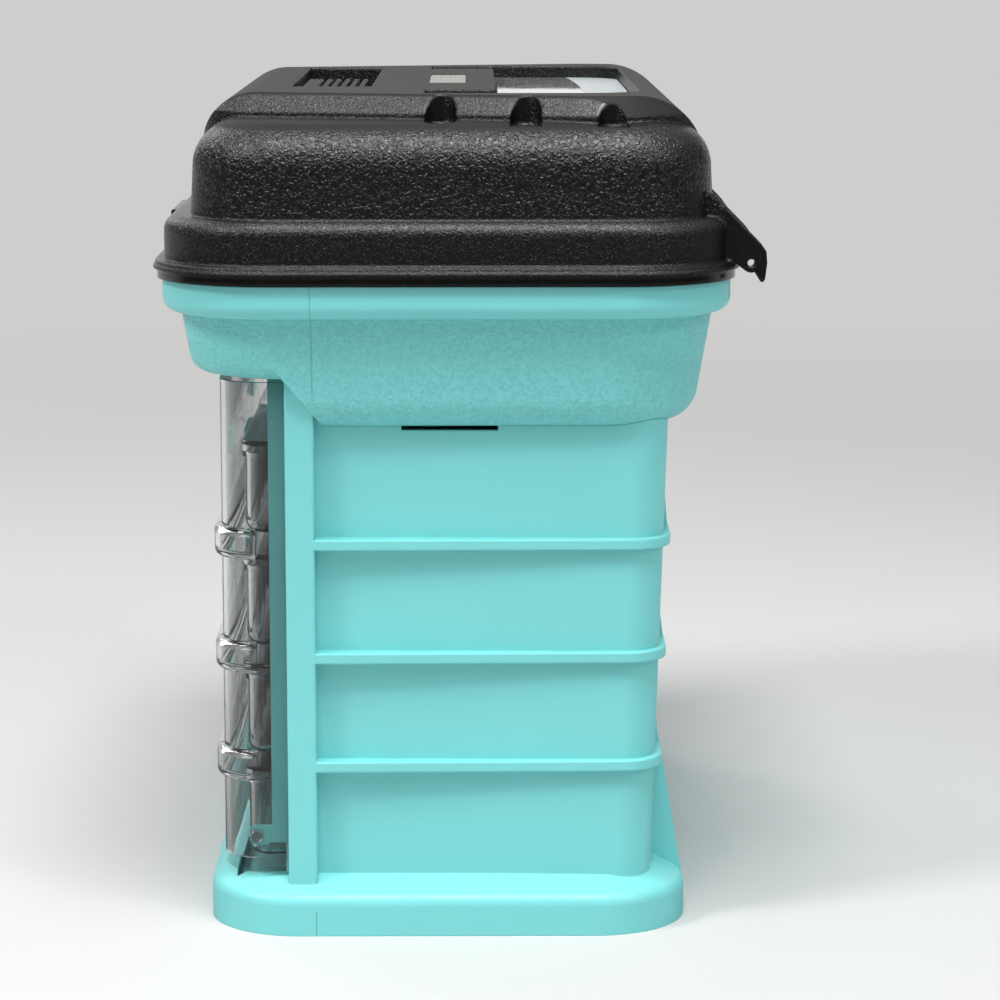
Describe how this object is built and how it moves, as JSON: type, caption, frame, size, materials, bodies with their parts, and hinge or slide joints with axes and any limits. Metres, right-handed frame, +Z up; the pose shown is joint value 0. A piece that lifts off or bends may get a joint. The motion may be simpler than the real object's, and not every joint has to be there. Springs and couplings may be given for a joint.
{
  "type": "craft storage rack",
  "caption": "Portable craft rack with clear utility boxes behind a drop-down clear door, under a deep tub with a hinged lid and a windowed small-parts compartment.",
  "frame": {"origin": "middle of the flat face the base rests on", "axes": "+X across the rack along its longest side, -Y out of the clear front door, +Y to the lid's hinge, +Z up"},
  "size_m": [0.286, 0.192, 0.2623],
  "materials": {
    "teal_shell": "satin",
    "teal_tub": "leather grain",
    "black_lid": "leather grain",
    "black_smooth": "smooth",
    "clear_door": "clear plastic",
    "clear_cover": "clear plastic",
    "clear_box": "clear plastic",
    "clear_pivot": "smooth",
    "grey_badge": "satin",
    "steel_pin": "brushed",
    "box_clip": "smooth"
  },
  "bodies": {
    "rack": {"rack_body": "teal_shell", "top_tub": "teal_tub"},
    "lid_body": {"lid": "black_lid", "lid_hinge_pins": "steel_pin", "window_cover_pins": "steel_pin", "badge_plate": "grey_badge", "lid_latch_pin": "steel_pin"},
    "latch_body": {"lid_latch": "black_smooth"},
    "window_body": {"window_cover": "clear_cover"},
    "door_carrier": {"door_pivots": "clear_pivot"},
    "door_body": {"front_door": "clear_door"},
    "box_1": {"box_1_tray": "clear_box", "box_1_lid": "clear_box", "box_1_clips": "box_clip", "box_1_dividers": "clear_box"},
    "box_2": {"box_2_tray": "clear_box", "box_2_lid": "clear_box", "box_2_clips": "box_clip", "box_2_dividers": "clear_box"},
    "box_3": {"box_3_tray": "clear_box", "box_3_lid": "clear_box", "box_3_clips": "box_clip", "box_3_dividers": "clear_box"},
    "box_4": {"box_4_tray": "clear_box", "box_4_lid": "clear_box", "box_4_clips": "box_clip", "box_4_dividers": "clear_box"}
  },
  "joints": [
    {"name": "lid_hinge", "type": "hinge", "parent": "rack", "child": "lid_body", "pos_m": [0, 0.0939, 0.2113], "axis": [-1, 0, 0], "range_deg": [0, 100]},
    {"name": "latch_hinge", "type": "hinge", "parent": "lid_body", "child": "latch_body", "pos_m": [0, -0.0841, 0.218], "axis": [-1, 0, 0], "range_deg": [0, 100]},
    {"name": "window_hinge", "type": "hinge", "parent": "lid_body", "child": "window_body", "pos_m": [0, -0.0026, 0.2571], "axis": [1, 0, 0], "range_deg": [0, 100]},
    {"name": "door_off", "type": "slide", "parent": "rack", "child": "door_carrier", "axis": [0, -1, 0], "range_m": [0, 0.22]},
    {"name": "door_hinge", "type": "hinge", "parent": "door_carrier", "child": "door_body", "pos_m": [0, -0.06, 0.0298], "axis": [1, 0, 0], "range_deg": [0, 95]},
    {"name": "box_1_slide", "type": "slide", "parent": "rack", "child": "box_1", "axis": [0, -1, 0], "range_m": [0, 0.132]},
    {"name": "box_2_slide", "type": "slide", "parent": "rack", "child": "box_2", "axis": [0, -1, 0], "range_m": [0, 0.132]},
    {"name": "box_3_slide", "type": "slide", "parent": "rack", "child": "box_3", "axis": [0, -1, 0], "range_m": [0, 0.132]},
    {"name": "box_4_slide", "type": "slide", "parent": "rack", "child": "box_4", "axis": [0, -1, 0], "range_m": [0, 0.132]}
  ],
  "couplings": [
    {"joint": "box_1_slide", "follows": "door_off", "ratio": 0.6},
    {"joint": "box_2_slide", "follows": "door_off", "ratio": 0.6},
    {"joint": "box_3_slide", "follows": "door_off", "ratio": 0.6},
    {"joint": "box_4_slide", "follows": "door_off", "ratio": 0.6}
  ]
}
